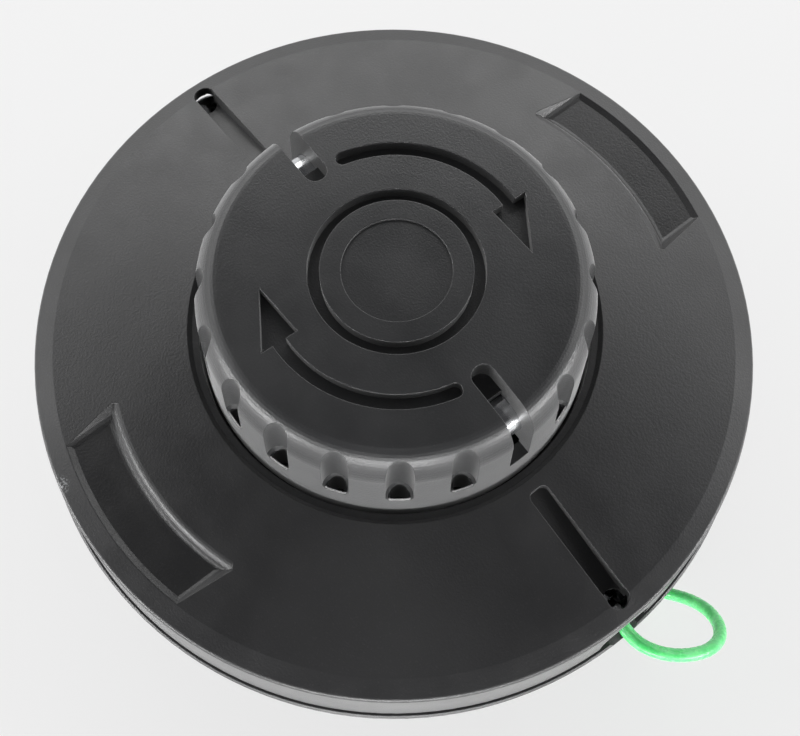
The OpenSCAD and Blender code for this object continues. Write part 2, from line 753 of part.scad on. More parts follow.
module winding_lower() { winding(spool_z + flange_t); }
module winding_upper() { winding(spool_z + flange_t + chamber_h + middle_t); }

// Knob: the fluted cap that is tapped on the ground and turned to wind the line in
ring_z = hole_z + lip_h;
knob_inner_top = knob_top - knob_top_t;
flute_at = knob_r;
foot_h = 0.9;         // height of the taper at the foot of a flute
foot_in = 0.45;       // radius that the flute loses there
drain_step = 0.25;    // step left behind a drain hole
drain_at = flute_at - flute_r + drain_step + drain_r;
drain_out = knob_foot_r - drain_wall;
rim_run = 0.8;        // run of the slope outside a drain hole for each millimetre of height
sleeve_out = hub_r - 0.6;
sleeve_in = hub_r - 2.8;
leg_in = hub_r - 2.9;
leg_out = hub_r - 1.1;
leg_deg = 18;
hook_z = web_z - fit_gap;
hook_h = 1.2;
hook_out = hub_r - 0.4;
shoulder_z = knob_top - knob_crown - shoulder_h;

function crown_points(n) = [
    for (i = [0:n])
        let (r = (knob_r - knob_shoulder) * (n - i) / n)
        [r, knob_top - knob_crown * pow(r / (knob_r - knob_shoulder), 2)]
];
function shoulder_points(n) = [
    for (p = arc([0, 0], 1, 2, 90, n))
        [knob_r - knob_shoulder + knob_shoulder * p[0], shoulder_z + shoulder_h * p[1]]
];
knob_outline = concat(
    [[0, knob_bottom], [knob_foot_r - edge, knob_bottom], [knob_foot_r, knob_bottom + edge]],
    shoulder_points(14),
    crown_points(5)
);

module knob_shell() {
    difference() {
        rotate_extrude() polygon(knob_outline);
        difference() {
            translate([0, 0, knob_bottom - cut])
                rotate_extrude()
                    polygon([
                        [0, 0], [knob_r - knob_wall, 0], [knob_r - knob_wall, knob_inner_top - knob_bottom - 2],
                        [knob_r - knob_wall - 2, knob_inner_top - knob_bottom + cut], [0, knob_inner_top - knob_bottom + cut]
                    ]);
            // The wall bulges inwards behind each flute
            for (i = [0:grip_n - 1])
                if (i % (grip_n / 2) != 0)
                    rotate(i * 360 / grip_n)
                        translate([flute_at, 0, knob_bottom - 2 * cut])
                            cylinder(h = knob_inner_top - knob_bottom + 4 * cut, r = flute_r + 1.4, $fn = 48);
        }
    }
}

module knob_flutes() {
    for (i = [0:grip_n - 1])
        if (i % (grip_n / 2) != 0)
            rotate(i * 360 / grip_n) {
                // Flute, with a tapered foot
                translate([flute_at, 0, 0])
                    rotate_extrude($fn = 48)
                        polygon([
                            [0, ring_z], [flute_r - foot_in, ring_z], [flute_r, ring_z + foot_h],
                            [flute_r, knob_top + cut], [0, knob_top + cut]
                        ]);
                // Drain hole, closed outside by the knob's lower ring
                intersection() {
                    union() {
                        translate([drain_at, 0, knob_bottom - cut])
                            cylinder(h = ring_z + foot_h - knob_bottom + cut, r = drain_r, $fn = 32);
                        translate([drain_at, -drain_r, knob_bottom - cut])
                            cube([flute_r, 2 * drain_r, ring_z - knob_bottom + 2 * cut]);
                    }
                    translate([0, 0, knob_bottom - 2 * cut])
                        cylinder(h = ring_z + foot_h - knob_bottom + 4 * cut, r = drain_out);
                }
                // The lower ring's top slopes outwards there
                difference() {
                    translate([flute_at, 0, ring_z - foot_h])
                        cylinder(h = foot_h + cut, r = flute_r - foot_in, $fn = 48);
                    translate([0, 0, ring_z - foot_h - cut])
                        cylinder(
                            h = foot_h + 3 * cut,
                            r1 = drain_out + (foot_h + cut) * rim_run, r2 = drain_out - 2 * cut * rim_run
                        );
                }
            }
}

module arrow() {
    head_base = 87;
    ring_sector(arrow_r - arrow_w / 2, arrow_r + arrow_w / 2, head_base - 2, head_base + arrow_shaft_deg);
    translate(polar(arrow_r, head_base + arrow_shaft_deg)) circle(arrow_w / 2, $fn = 32);
    polygon([
        polar(arrow_r - arrow_head_w / 2, head_base), polar(arrow_r, head_base - arrow_head_deg),
        polar(arrow_r + arrow_head_w / 2, head_base)
    ]);
}

module knob_marks() {
    translate([0, 0, knob_top - mark_depth])
        linear_extrude(mark_depth + cut) {
            both_sides() arrow();
            difference() {
                circle(ring_r + ring_w / 2);
                circle(ring_r - ring_w / 2);
            }
        }
    // Gently dished pad inside the ring
    translate([0, 0, knob_top - 0.5]) cylinder(h = 1, r = ring_r - ring_w / 2 - 3.4);
}

guide_z = knob_top - guide_sink - guide_r;
cheek_t = 2.2;
cheek_low = guide_z - guide_r - 1.4;
slot_floor = knob_top - shelf_depth;

// Blocks beside and under each slot, which carry the guide pin
module knob_cheeks() {
    half = slot_w / 2 + cheek_t;
    rotate([90, 0, 0])
        translate([0, 0, -half])
            linear_extrude(2 * half)
                polygon([
                    [sleeve_out - edge, knob_inner_top + cut], [sleeve_out - edge, slot_floor - 2],
                    [guide_at - guide_r - 1.3, slot_floor - 2], [guide_at - guide_r - 1.3, cheek_low],
                    [knob_r - knob_wall + 0.8, cheek_low], [knob_r - knob_wall + 0.8, knob_inner_top + cut]
                ]);
}

module knob_slot() {
    // Shallow round inner end, then the open part that runs out through the wall
    translate([slot_in_r + slot_w / 2, 0, slot_floor]) cylinder(h = knob_top - slot_floor + cut, r = slot_w / 2, $fn = 48);
    translate([slot_in_r + slot_w / 2, -slot_w / 2, slot_floor])
        cube([knob_r, slot_w, knob_top - slot_floor + cut]);
    translate([shelf_r, -slot_w / 2, ring_z]) cube([knob_r, slot_w, knob_top - ring_z]);
    // Bore for the guide pin's ends
    translate([guide_at, -slot_w / 2 - cheek_t - cut, guide_z])
        rotate([-90, 0, 0]) cylinder(h = slot_w + 2 * cheek_t + 2 * cut, r = guide_r + seat_gap);
}

module knob_sleeve() {
    translate([0, 0, spool_top + seat_gap])
        difference() {
            cylinder(h = knob_inner_top - spool_top + cut, r = sleeve_out);
            translate([0, 0, -cut]) cylinder(h = knob_inner_top - spool_top + 3 * cut, r = sleeve_in);
        }
    // Legs with hooks that catch under the spool's web
    for (a = [45:90:315]) {
        translate([0, 0, hook_z - hook_h])
            linear_extrude(spool_top - hook_z + hook_h + 1)
                ring_sector(leg_in, leg_out, a - leg_deg / 2, a + leg_deg / 2);
        translate([0, 0, hook_z - hook_h])
            linear_extrude(hook_h)
                ring_sector(leg_in, hook_out, a - leg_deg / 2, a + leg_deg / 2);
    }
    // Stiffening ribs between the sleeve and the wall
    for (a = [36:36:144], s = [0, 180])
        rotate(a + s)
            translate([sleeve_out - edge, -0.8, ring_z])
                cube([knob_r - knob_wall - sleeve_out + 2 * edge, 1.6, knob_inner_top - ring_z + cut]);
}

module knob() {
    color("#303134")
        rotate(knob_turn)
            difference() {
                union() {
                    knob_shell();
                    knob_sleeve();
                    both_sides() knob_cheeks();
                }
                knob_flutes();
                both_sides() knob_slot();
                knob_marks();
            }
}

// Guide pins: polished steel pins across the knob's slots, which the line runs over
module guide_pin() {
    half = slot_w / 2 + cheek_t - 0.1;
    color("#d3d5d8")
        rotate(knob_turn)
            translate([guide_at, -half, guide_z])
                rotate([-90, 0, 0]) cylinder(h = 2 * half, r = guide_r);
}

module guide_pin_front() { guide_pin(); }
module guide_pin_rear() { rotate(180) guide_pin(); }

// Cutting line: a straight lead through each eyelet, and the free tail of the front one
lead_in_x = flange_r + 0.5;

module line_lead(x_end) {
    color("#46d46c")
        translate([lead_in_x, 0, eyelet_z])
            rotate([0, 90, 0]) cylinder(h = x_end - lead_in_x, r = line_d / 2, $fn = 24);
}

module line_lead_front() { line_lead(eyelet_out_x); }
module line_lead_rear() { rotate(180) line_lead(eyelet_out_x - 2.6); }

// The tail leaves the front eyelet, curls down onto the table and runs back under the head
tail_points = [
    [64.5, 0, 31], [67.1, -0.2, 31.1], [69.8, 0.4, 31.0], [72.5, 2.1, 30.4], [74.8, 4.5, 29.4],
    [76.5, 7.2, 28.1], [77.6, 10.0, 26.4], [77.9, 12.8, 24.2], [77.3, 15.3, 21.4],
    [75.6, 17.3, 18.1], [73.0, 18.3, 14.6], [70.1, 18.1, 11.1], [67.2, 16.9, 7.9],
    [64.3, 15.2, 5.0], [61.4, 13.5, 2.9], [58.2, 12.0, 1.7], [54.8, 10.8, 1.25],
    [51.2, 9.8, 1.25], [47.6, 9.0, 1.25], [44.0, 8.5, 1.25]
];
tail_sides = 8;

function unit(v) = v / norm(v);
function tail_way(i) =
    unit(tail_points[min(i + 1, len(tail_points) - 1)] - tail_points[max(i - 1, 0)]);

module line_tail() {
    n = len(tail_points);
    points = [
        for (i = [0:n - 1], j = [0:tail_sides - 1])
            let (
                way = i == 0 ? [1, 0, 0] : tail_way(i),
                side = unit(cross([0, 0, 1], way)),
                up = cross(way, side),
                a = 360 * (j + 0.5) / tail_sides
            )
            tail_points[i] + line_d / 2 * (cos(a) * side + sin(a) * up)
    ];
    faces = [
        [for (j = [0:tail_sides - 1]) j],
        for (i = [0:n - 2], j = [0:tail_sides - 1])
            [i * tail_sides + j, (i + 1) * tail_sides + j,
             (i + 1) * tail_sides + (j + 1) % tail_sides, i * tail_sides + (j + 1) % tail_sides],
        [for (j = [tail_sides - 1:-1:0]) (n - 1) * tail_sides + j]
    ];
    color("#46d46c") polyhedron(points, faces, convexity = 6);
}

housing();
arbor_insert();
spring_seat();
ratchet_ring();
cover();
eyelet_front();
eyelet_rear();
line_lead_front();
line_lead_rear();
line_tail();
feed_spring();
spring_cap();
spool();
pawl_ring();
winding_lower();
winding_upper();
knob();
guide_pin_front();
guide_pin_rear();
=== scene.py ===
import math

import bmesh
import bpy
from mathutils import Matrix, Vector


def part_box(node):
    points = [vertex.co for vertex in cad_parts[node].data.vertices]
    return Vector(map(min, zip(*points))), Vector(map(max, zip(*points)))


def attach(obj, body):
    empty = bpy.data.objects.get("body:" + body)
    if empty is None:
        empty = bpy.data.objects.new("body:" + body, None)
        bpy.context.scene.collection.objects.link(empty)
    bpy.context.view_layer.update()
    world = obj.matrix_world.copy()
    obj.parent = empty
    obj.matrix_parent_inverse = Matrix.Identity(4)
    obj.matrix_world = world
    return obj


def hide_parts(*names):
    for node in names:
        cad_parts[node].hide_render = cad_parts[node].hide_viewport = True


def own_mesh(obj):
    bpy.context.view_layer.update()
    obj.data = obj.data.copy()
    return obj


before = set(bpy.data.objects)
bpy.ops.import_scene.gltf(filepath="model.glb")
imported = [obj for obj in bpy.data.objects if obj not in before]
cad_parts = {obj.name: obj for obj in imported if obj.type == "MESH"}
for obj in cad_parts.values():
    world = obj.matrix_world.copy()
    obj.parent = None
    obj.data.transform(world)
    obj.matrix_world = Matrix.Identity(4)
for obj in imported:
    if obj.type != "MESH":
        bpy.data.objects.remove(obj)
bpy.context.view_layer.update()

# A tap-feed trimmer head, lying on its gearbox side with the bump knob up.
# Everything is in metres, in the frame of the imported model: the axis is Z, the eyelets are on X.
scene = bpy.context.scene
MM = 0.001


# Camera
# It stands over the near edge of the head, tilted towards the knob, with a plain 50 mm lens.
camera_at = (0.0580966, -0.0469959, 0.2296556)
camera_turn = (19.5235, -0.7626, 52.3155)
camera_lens = 50.595
camera_data = bpy.data.cameras.new("camera")
camera_data.lens = camera_lens
camera_data.clip_start = 0.01
camera_data.clip_end = 20
camera = bpy.data.objects.new("camera", camera_data)
camera.location = camera_at
camera.rotation_euler = [math.radians(a) for a in camera_turn]
scene.collection.objects.link(camera)
scene.camera = camera


# Cutting line
# Green nylon line, 2.4 mm thick and drawn with a slow twist, so its highlights are broken.
# Its free end leaves the front eyelet, curls down to the table and runs back under the head.
line_d = 2.4 * MM
line_green = (0.24, 0.92, 0.37, 1)
line_deep_green = (0.13, 0.80, 0.25, 1)
line_twist_pitch = 7 * MM
line_flat = 0.03         # how far the twisted flats lie under the line's own radius
tail_route = [
    (0.0645, 0, 0.031), (0.0671, -0.0002, 0.0311), (0.0698, 0.0004, 0.0310), (0.0725, 0.0021, 0.0304),
    (0.0748, 0.0045, 0.0294), (0.0765, 0.0072, 0.0281), (0.0776, 0.0100, 0.0264),
    (0.0779, 0.0128, 0.0242), (0.0773, 0.0153, 0.0214), (0.0756, 0.0173, 0.0181),
    (0.0730, 0.0183, 0.0146), (0.0701, 0.0181, 0.0111), (0.0672, 0.0169, 0.0079),
    (0.0643, 0.0152, 0.0050), (0.0614, 0.0135, 0.0029), (0.0582, 0.0120, 0.0017),
    (0.0548, 0.0108, 0.00125), (0.0512, 0.0098, 0.00125), (0.0476, 0.0090, 0.00125),
    (0.0440, 0.0085, 0.00125),
]
route_steps = 8          # rings between two points of the route
line_sides = 24


def new_node(tree, kind, settings=(), **inputs):
    """A shader node with its settings and inputs; an input is a number, a colour or another socket."""
    node = tree.nodes.new(kind)
    for key, value in dict(settings).items():
        setattr(node, key, value)
    for key, value in inputs.items():
        socket = node.inputs[key.replace("_", " ")]
        if isinstance(value, bpy.types.NodeSocket):
            tree.links.new(value, socket)
        else:
            socket.default_value = value
    return node


def new_material(name, roughness, metallic=0.0):
    """A material with one shader. Returns it with its tree, its shader and the piece's own coordinates."""
    made = bpy.data.materials.new(name)
    made.use_nodes = True
    tree = made.node_tree
    skin = tree.nodes["Principled BSDF"]
    skin.inputs["Roughness"].default_value = roughness
    skin.inputs["Metallic"].default_value = metallic
    place = new_node(tree, "ShaderNodeTexCoord").outputs["Object"]
    return made, tree, skin, place


def noise(tree, place, scale, detail=2.0, low=0.0, high=1.0, start=0.35, end=0.65):
    """Noise with `scale` grains to the metre, spread from low to high."""
    grain = new_node(tree, "ShaderNodeTexNoise", Vector=place, Scale=scale, Detail=detail)
    spread = new_node(
        tree, "ShaderNodeMapRange", Value=grain.outputs["Fac"],
        From_Min=start, From_Max=end, To_Min=low, To_Max=high,
    )
    return spread.outputs["Result"]


def blend_colour(tree, share, first, second):
    """A colour between two others, or sockets that give them."""
    mixer = tree.nodes.new("ShaderNodeMix")
    mixer.data_type = "RGBA"
    for slot, value in ((0, share), (6, first), (7, second)):
        if isinstance(value, bpy.types.NodeSocket):
            tree.links.new(value, mixer.inputs[slot])
        else:
            mixer.inputs[slot].default_value = value
    return mixer.outputs[2]


def bump(tree, skin, height, depth, strength=1.0, below=None):
    """Raises the shader's normal by a height pattern, on top of another normal where one is given."""
    raised = new_node(tree, "ShaderNodeBump", Height=height, Distance=depth, Strength=strength)
    if below is not None:
        tree.links.new(below, raised.inputs["Normal"])
    tree.links.new(raised.outputs["Normal"], skin.inputs["Normal"])
    return raised.outputs["Normal"]


def line_nylon():
    """Clear green nylon: light gets a little way in, and the skin is drawn smooth."""
    made, tree, skin, place = new_material("line_nylon_green", 0.22)
    cloud = noise(tree, place, 420, 2.0)
    tree.links.new(blend_colour(tree, cloud, line_deep_green, line_green), skin.inputs["Base Color"])
    tree.links.new(noise(tree, place, 900, 3.0, 0.16, 0.34), skin.inputs["Roughness"])
    skin.inputs["Subsurface Weight"].default_value = 0.6
    skin.inputs["Subsurface Radius"].default_value = (0.3, 1.0, 0.45)
    skin.inputs["Subsurface Scale"].default_value = 0.0012
    skin.inputs["IOR"].default_value = 1.53
    bump(tree, skin, noise(tree, place, 2400, 2.0), 0.00002, 0.3)
    return made


def smooth_route(points, steps):
    """Points along one smooth curve through the route's points, evenly spread between each two."""
    ends = [points[0] * 2 - points[1]] + points + [points[-1] * 2 - points[-2]]
    found = []
    for a, b, c, d in zip(ends, ends[1:], ends[2:], ends[3:]):
        for i in range(steps):
            t = i / steps
            found.append(
                0.5 * (2 * b + (c - a) * t + (2 * a - 5 * b + 4 * c - d) * t * t
                       + (3 * b - a - 3 * c + d) * t * t * t)
            )
    return found + [points[-1]]


def finish_mesh(name, bm, material, sharp_deg=40):
    """An object from a bmesh, with smooth faces and sharp edges past an angle."""
    mesh = bpy.data.meshes.new(name)
    bm.to_mesh(mesh)
    bm.free()
    mesh.polygons.foreach_set("use_smooth", [True] * len(mesh.polygons))
    mesh.set_sharp_from_angle(angle=math.radians(sharp_deg))
    mesh.materials.append(material)
    made = bpy.data.objects.new(name, mesh)
    scene.collection.objects.link(made)
    return made


nylon = line_nylon()
tail_path = smooth_route([Vector(p) for p in tail_route], route_steps)
bm = bmesh.new()
ring = bmesh.ops.create_circle(bm, cap_ends=True, segments=line_sides, radius=line_d / 2)["verts"]
for vert in ring:
    angle = math.atan2(vert.co.y, vert.co.x)
    vert.co *= 1 - line_flat * (1 - math.cos(4 * angle)) / 2
shape = [vert.co.copy() for vert in ring]
way = Vector((1, 0, 0))
turn = way.to_track_quat("Z", "Y")
gone = 0.0
edges = list({edge for vert in ring for edge in vert.link_edges})
for i, point in enumerate(tail_path):
    if i:
        gone += (point - tail_path[i - 1]).length
        ahead = tail_path[min(i + 1, len(tail_path) - 1)] - tail_path[i - 1]
        turn = way.rotation_difference(ahead) @ turn
        way = ahead.normalized()
        grown = bmesh.ops.extrude_edge_only(bm, edges=edges)["geom"]
        edges = [part for part in grown if isinstance(part, bmesh.types.BMEdge)]
        old = ring
        ring = [
            next(edge.other_vert(vert) for edge in vert.link_edges
                 if edge.other_vert(vert) in grown and edge not in edges)
            for vert in old
        ]
        edges = [edge for edge in edges if edge.verts[0] in ring and edge.verts[1] in ring]
    spin = Matrix.Rotation(2 * math.pi * gone / line_twist_pitch, 3, "Z")
    for vert, flat in zip(ring, shape):
        vert.co = point + turn @ (spin @ flat)
bmesh.ops.contextual_create(bm, geom=edges)
bmesh.ops.recalc_face_normals(bm, faces=bm.faces)
line_tail = finish_mesh("line_tail_free", bm, nylon)
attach(line_tail, "head")
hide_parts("line_tail")
for name in ("line_lead_front", "line_lead_rear", "winding_lower", "winding_upper"):
    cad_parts[name].material_slots[0].material = nylon


# Housing
# The lower bowl that screws onto the gearbox shaft, moulded in black glass-filled nylon.
# Its skin has a fine spark grain, a little duller and paler where it was handled.
housing_black = (0.012, 0.012, 0.013, 1)
housing_grey = (0.020, 0.020, 0.022, 1)
worn_grey = (0.10, 0.10, 0.105, 1)


def black_plastic(name, dark, pale, rough_low, rough_high, bloom, grain=2600, soft_edge=0.2 * MM):
    """Moulded black plastic: spark grain, a pale bloom seen at a slant, fine specks and rubbed edges."""
    made, tree, skin, place = new_material(name, rough_high)
    skin.inputs["Specular IOR Level"].default_value = 0.8
    skin.inputs["Sheen Weight"].default_value = bloom
    skin.inputs["Sheen Roughness"].default_value = 0.4
    cloud = noise(tree, place, 55, 4.0)
    mottle = noise(tree, place, 480, 3.0)
    fine = noise(tree, place, grain, 2.0)
    speck = noise(tree, place, grain * 1.2, 1.0, 0.0, 0.16, 0.60, 0.78)
    soft = new_node(tree, "ShaderNodeBevel", {"samples": 6}, Radius=soft_edge).outputs["Normal"]
    flat = new_node(tree, "ShaderNodeNewGeometry").outputs["Normal"]
    facing = new_node(tree, "ShaderNodeVectorMath", {"operation": "DOT_PRODUCT"})
    tree.links.new(soft, facing.inputs[0])
    tree.links.new(flat, facing.inputs[1])
    rubbed = new_node(
        tree, "ShaderNodeMapRange", Value=facing.outputs["Value"],
        From_Min=0.985, From_Max=0.90, To_Min=0.0, To_Max=1.0,
    ).outputs["Result"]
    patchy = new_node(tree, "ShaderNodeMath", {"operation": "MULTIPLY"})
    tree.links.new(rubbed, patchy.inputs[0])
    tree.links.new(noise(tree, place, 700, 3.0, 0.0, 0.14), patchy.inputs[1])
    tone = blend_colour(tree, cloud, dark, pale)
    tone = blend_colour(tree, new_node(
        tree, "ShaderNodeMapRange", Value=mottle, To_Min=0.0, To_Max=0.25).outputs["Result"], tone, pale)
    tone = blend_colour(tree, speck, tone, worn_grey)
    tone = blend_colour(tree, patchy.outputs["Value"], tone, worn_grey)
    tree.links.new(tone, skin.inputs["Base Color"])
    sheen = noise(tree, place, 130, 4.0, rough_low, rough_high)
    tree.links.new(sheen, skin.inputs["Roughness"])
    bump(tree, skin, fine, 0.00004, 0.3, soft)
    return made, tree, skin, place, tone


housing_skin = black_plastic("housing_plastic_black", housing_black, housing_grey, 0.38, 0.48, 0.4)[0]
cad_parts["housing"].material_slots[0].material = housing_skin


# Arbor insert
# A steel bush with a hexagonal collar, moulded into the post, with a left-hand thread inside.
# The thread is cut here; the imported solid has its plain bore.
steel_grey = (0.52, 0.53, 0.55, 1)
steel_dark = (0.36, 0.37, 0.39, 1)
thread_minor_r = 4.32 * MM
thread_major_r = 5.0 * MM
thread_pitch = 1.25 * MM
thread_turns = 17
thread_steps = 40


def turned_steel(name, pale, dark, rough_low, rough_high, marks=9000):
    """Machined steel: fine rings left by the tool, and cloudy spots where it was touched."""
    made, tree, skin, place = new_material(name, rough_high, 1.0)
    cloud = noise(tree, place, 300, 3.0)
    tree.links.new(blend_colour(tree, cloud, dark, pale), skin.inputs["Base Color"])
    tree.links.new(noise(tree, place, 800, 3.0, rough_low, rough_high), skin.inputs["Roughness"])
    squeezed = new_node(tree, "ShaderNodeMapping", Vector=place, Scale=(0.02, 0.02, 1.0))
    rings = noise(tree, squeezed.outputs["Vector"], marks, 2.0)
    bump(tree, skin, rings, 0.000012, 0.4)
    return made


insert_steel = turned_steel("insert_steel_turned", steel_grey, steel_dark, 0.26, 0.42)
bm = bmesh.new()
flank = (thread_major_r - thread_minor_r + 0.1 * MM) * math.tan(math.radians(30))
root = thread_pitch / 16
corners = [
    bm.verts.new((thread_minor_r - 0.1 * MM, 0, -flank - root)),
    bm.verts.new((thread_major_r, 0, -root)),
    bm.verts.new((thread_major_r, 0, root)),
    bm.verts.new((thread_minor_r - 0.1 * MM, 0, flank + root)),
]
face = bm.faces.new(corners)
bmesh.ops.translate(bm, verts=bm.verts, vec=(0, 0, -thread_pitch))
bmesh.ops.spin(
    bm, geom=[face] + list(face.edges) + list(face.verts), cent=(0, 0, 0), axis=(0, 0, -1),
    dvec=(0, 0, thread_pitch / thread_steps), angle=2 * math.pi * thread_turns,
    steps=thread_turns * thread_steps, use_merge=False, use_duplicate=False,
)
bmesh.ops.recalc_face_normals(bm, faces=bm.faces)
thread_cutter = finish_mesh("thread_cutter", bm, insert_steel)
bm = bmesh.new()
bm.from_mesh(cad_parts["arbor_insert"].data)
bmesh.ops.remove_doubles(bm, verts=bm.verts, dist=1e-7)
threaded_insert = finish_mesh("arbor_insert_threaded", bm, insert_steel, 25)
cutting = threaded_insert.modifiers.new("thread", "BOOLEAN")
cutting.operation = "DIFFERENCE"
cutting.solver = "EXACT"
cutting.object = thread_cutter
bpy.context.view_layer.update()
cut_mesh = bpy.data.meshes.new_from_object(
    threaded_insert.evaluated_get(bpy.context.evaluated_depsgraph_get())
)
threaded_insert.modifiers.clear()
threaded_insert.data = cut_mesh
cut_mesh.set_sharp_from_angle(angle=math.radians(25))
bpy.data.objects.remove(thread_cutter)
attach(threaded_insert, "head")
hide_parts("arbor_insert")


# Spring seat
# A hardened washer under the feed spring, with an oily, slightly blued skin.
seat_steel = turned_steel(
    "seat_steel_blued", (0.30, 0.31, 0.34, 1), (0.18, 0.19, 0.22, 1), 0.28, 0.45)
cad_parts["spring_seat"].material_slots[0].material = seat_steel


# Ratchet ring, pawl ring and spring cap
# The parts that slide on others are moulded in natural acetal: off-white, waxy and slightly clear.
acetal_white = (0.70, 0.67, 0.58, 1)
acetal_shade = (0.56, 0.53, 0.45, 1)


def acetal():
    """Natural acetal, with faint flow clouds and a soft waxy shine."""
    made, tree, skin, place = new_material("acetal_natural", 0.38)
    tree.links.new(
        blend_colour(tree, noise(tree, place, 90, 4.0), acetal_shade, acetal_white),
        skin.inputs["Base Color"],
    )
    tree.links.new(noise(tree, place, 400, 3.0, 0.30, 0.46), skin.inputs["Roughness"])
    skin.inputs["Subsurface Weight"].default_value = 0.35
    skin.inputs["Subsurface Radius"].default_value = (1.0, 0.8, 0.55)
    skin.inputs["Subsurface Scale"].default_value = 0.0015
    bump(tree, skin, noise(tree, place, 1800, 2.0), 0.00003, 0.4)
    return made


waxy = acetal()
for name in ("ratchet_ring", "pawl_ring", "spring_cap"):
    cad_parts[name].material_slots[0].material = waxy


# Feed spring
# Round wire wound on a mandrel, with a flat closed turn at each end. It shortens as the knob is tapped.
wire_d = 1.6 * MM
wire_sides = 16
coil_steps = 36
coil_turns = 6
coil_in_r = 11.1 * MM    # the post's radius and its clearance
coil_mean_r = coil_in_r + wire_d / 2
wire_gap = 0.05 * MM
closed_pitch = wire_d * 1.08
spring_low, spring_high = (corner.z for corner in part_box("feed_spring"))
open_pitch = (spring_high - spring_low - wire_d - 2 * closed_pitch) / (coil_turns - 2)


def spring_wire():
    """Drawn spring steel: lengthwise die lines and a thin film of oil."""
    made, tree, skin, place = new_material("spring_steel_wire", 0.3, 1.0)
    cloud = noise(tree, place, 500, 3.0)
    tree.links.new(
        blend_colour(tree, cloud, (0.26, 0.27, 0.29, 1), (0.46, 0.47, 0.50, 1)),
        skin.inputs["Base Color"],
    )
    tree.links.new(noise(tree, place, 1500, 2.0, 0.20, 0.38), skin.inputs["Roughness"])
    bump(tree, skin, noise(tree, place, 5000, 2.0), 0.00001, 0.4)
    return made


bm = bmesh.new()
wire = bmesh.ops.create_circle(
    bm, cap_ends=True, segments=wire_sides, radius=wire_d / 2,
    matrix=Matrix.Translation((coil_mean_r, 0, spring_low + wire_d / 2)) @ Matrix.Rotation(math.pi / 2, 4, "X"),
)["verts"]
grown = wire + bm.edges[:] + bm.faces[:]
for turns, pitch in ((1, closed_pitch), (coil_turns - 2, open_pitch), (1, closed_pitch)):
    grown = bmesh.ops.spin(
        bm, geom=grown, cent=(0, 0, 0), axis=(0, 0, 1), dvec=(0, 0, pitch / coil_steps),
        angle=2 * math.pi * turns, steps=turns * coil_steps, use_merge=False, use_duplicate=False,
    )["geom_last"]
bmesh.ops.recalc_face_normals(bm, faces=bm.faces)
feed_spring = finish_mesh("feed_spring_coil", bm, spring_wire(), 60)
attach(feed_spring, "head")
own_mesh(feed_spring)
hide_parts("feed_spring")


# Eyelets and guide pins
# Hard polished steel, because the line rubs on them; the eyelets are turned, the pins ground.
polished_pale = (0.78, 0.79, 0.80, 1)
polished_dark = (0.62, 0.63, 0.65, 1)


def polished_steel(name, along):
    """Polished steel with hairlines along the given stretch of its own axes."""
    made, tree, skin, place = new_material(name, 0.14, 1.0)
    cloud = noise(tree, place, 260, 3.0)
    tree.links.new(blend_colour(tree, cloud, polished_dark, polished_pale), skin.inputs["Base Color"])
    tree.links.new(noise(tree, place, 900, 3.0, 0.10, 0.24), skin.inputs["Roughness"])
    drawn = new_node(tree, "ShaderNodeMapping", Vector=place, Scale=along)
    bump(tree, skin, noise(tree, drawn.outputs["Vector"], 6000, 2.0), 0.000008, 0.35)
    return made


eyelet_steel = polished_steel("eyelet_steel_polished", (1.0, 0.05, 0.05))
for name in ("eyelet_front", "eyelet_rear"):
    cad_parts[name].material_slots[0].material = eyelet_steel
pin_steel = polished_steel("pin_steel_ground", (1.0, 0.04, 1.0))
for name in ("guide_pin_front", "guide_pin_rear"):
    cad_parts[name].material_slots[0].material = pin_steel


# Spool
# Moulded in a plainer black nylon, with the duller skin of an inner part.
spool_black = (0.016, 0.016, 0.018, 1)
spool_grey = (0.026, 0.026, 0.028, 1)
spool_skin = black_plastic("spool_plastic_black", spool_black, spool_grey, 0.44, 0.54, 0.4)[0]
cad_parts["spool"].material_slots[0].material = spool_skin


# Cover
# The wide disc on top, moulded in glass-filled nylon with a fine spark grain all over.
# One short scuff on its rim, where the head was knocked, has gone pale.
cover_black = (0.0105, 0.0105, 0.0115, 1)
cover_grey = (0.017, 0.017, 0.018, 1)
scuff_at = (-0.0122, -0.0635, 0.0398)
scuff_r = 2.2 * MM
scuff_pale = (0.42, 0.43, 0.44, 1)
cover_skin, tree, skin, place, tone = black_plastic(
    "cover_plastic_black", cover_black, cover_grey, 0.35, 0.42, 0.42)
reach = new_node(tree, "ShaderNodeVectorMath", {"operation": "DISTANCE"})
tree.links.new(place, reach.inputs[0])
reach.inputs[1].default_value = scuff_at
near = new_node(
    tree, "ShaderNodeMapRange", Value=reach.outputs["Value"],
    From_Min=0.0, From_Max=scuff_r, To_Min=1.0, To_Max=0.0,
)
scratches = noise(tree, place, 2600, 4.0, 0.0, 1.0, 0.50, 0.60)
scuffed = new_node(tree, "ShaderNodeMath", {"operation": "MULTIPLY"})
tree.links.new(near.outputs["Result"], scuffed.inputs[0])
tree.links.new(scratches, scuffed.inputs[1])
tree.links.new(
    blend_colour(tree, scuffed.outputs["Value"], tone, scuff_pale), skin.inputs["Base Color"])
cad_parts["cover"].material_slots[0].material = cover_skin


# Knob
# The fluted cap that is tapped on the ground, in a slightly greyer nylon than the cover.
# Its top has a faint cloud of rubbed plastic from handling.
knob_black = (0.012, 0.0125, 0.0135, 1)
knob_grey = (0.021, 0.0215, 0.023, 1)
knob_skin = black_plastic("knob_plastic_black", knob_black, knob_grey, 0.33, 0.40, 0.6, 3000)[0]
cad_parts["knob"].material_slots[0].material = knob_skin


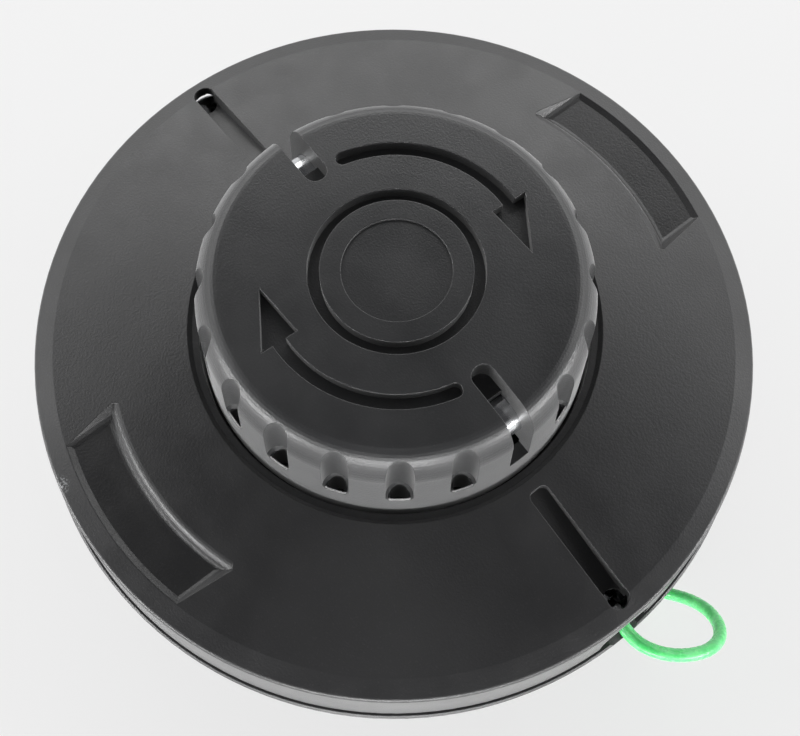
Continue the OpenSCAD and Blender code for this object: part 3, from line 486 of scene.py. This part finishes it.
# Floor and light
# A white table in a bright room with a dark ceiling: three long soft lights stand low around the front,
# three more hang behind the head, and one small lamp beside the camera puts the glints on the steel.
front_azimuth = -37.7    # the side that the camera stands on, in degrees from +X
look_at = Vector((0, 0, 0.04))
floor_white = (0.90, 0.90, 0.90, 1)
floor_shade = (0.86, 0.86, 0.86, 1)
backdrop_white = (0.97, 0.97, 0.97, 1)
backdrop_share = 0.7     # how much of the floor's own light a camera or a mirror sees
wall_white = (0.95, 0.95, 0.95, 1)
ceiling_grey = (0.06, 0.06, 0.062, 1)


def softbox(name, azimuth, elevation, distance, width, height, power):
    """A rectangular soft light that faces the head."""
    lamp = bpy.data.lights.new(name, "AREA")
    lamp.shape = "RECTANGLE"
    lamp.size = width
    lamp.size_y = height
    lamp.energy = power
    made = bpy.data.objects.new(name, lamp)
    a, e = math.radians(azimuth), math.radians(elevation)
    away = Vector((math.cos(a) * math.cos(e), math.sin(a) * math.cos(e), math.sin(e)))
    made.location = look_at + away * distance
    made.rotation_euler = away.to_track_quat("Z", "Y").to_euler()
    made.visible_camera = False
    scene.collection.objects.link(made)
    return made


softbox("light_front", front_azimuth, 3, 1.0, 0.9, 0.12, 8.5)
softbox("light_front_left", front_azimuth - 60, 3, 1.0, 0.9, 0.12, 7)
softbox("light_front_right", front_azimuth + 60, 3, 1.0, 0.9, 0.12, 6.5)
softbox("light_back", front_azimuth + 180, 36, 1.0, 1.0, 0.5, 3.7)
softbox("light_back_left", front_azimuth - 120, 36, 1.0, 1.0, 0.5, 2.8)
softbox("light_back_right", front_azimuth + 120, 36, 1.0, 1.0, 0.5, 2.8)
softbox("light_glint", front_azimuth, 72, 0.35, 0.008, 0.008, 0.02)

bm = bmesh.new()
bmesh.ops.create_grid(bm, x_segments=1, y_segments=1, size=4)
floor_paint, tree, skin, place = new_material("floor_paint_white", 0.6)
tree.links.new(
    blend_colour(tree, noise(tree, place, 6, 3.0), floor_shade, floor_white), skin.inputs["Base Color"])
seen = new_node(tree, "ShaderNodeLightPath")
seen_or_mirrored = new_node(tree, "ShaderNodeMath", {"operation": "MAXIMUM"})
tree.links.new(seen.outputs["Is Camera Ray"], seen_or_mirrored.inputs[0])
tree.links.new(seen.outputs["Is Glossy Ray"], seen_or_mirrored.inputs[1])
seen_at_all = new_node(tree, "ShaderNodeMath", {"operation": "MAXIMUM"})
tree.links.new(seen_or_mirrored.outputs["Value"], seen_at_all.inputs[0])
tree.links.new(seen.outputs["Is Transmission Ray"], seen_at_all.inputs[1])
share = new_node(tree, "ShaderNodeMath", {"operation": "MULTIPLY"})
tree.links.new(seen_at_all.outputs["Value"], share.inputs[0])
share.inputs[1].default_value = backdrop_share
white = new_node(tree, "ShaderNodeEmission", Color=backdrop_white, Strength=1.0)
blend = new_node(tree, "ShaderNodeMixShader", Fac=share.outputs["Value"])
tree.links.new(skin.outputs["BSDF"], blend.inputs[1])
tree.links.new(white.outputs["Emission"], blend.inputs[2])
tree.links.new(blend.outputs["Shader"], tree.nodes["Material Output"].inputs["Surface"])
floor = finish_mesh("floor", bm, floor_paint)

world = bpy.data.worlds.new("room")
world.use_nodes = True
scene.world = world
tree = world.node_tree
direction = new_node(tree, "ShaderNodeTexCoord").outputs["Generated"]
height = new_node(tree, "ShaderNodeSeparateXYZ", Vector=direction).outputs["Z"]
fade = new_node(tree, "ShaderNodeMapRange", Value=height, From_Min=0.05, From_Max=0.55, To_Min=0.0, To_Max=1.0)
room = blend_colour(tree, fade.outputs["Result"], wall_white, ceiling_grey)
tree.links.new(room, tree.nodes["Background"].inputs["Color"])
tree.nodes["Background"].inputs["Strength"].default_value = 1.0

scene.view_settings.view_transform = "Standard"
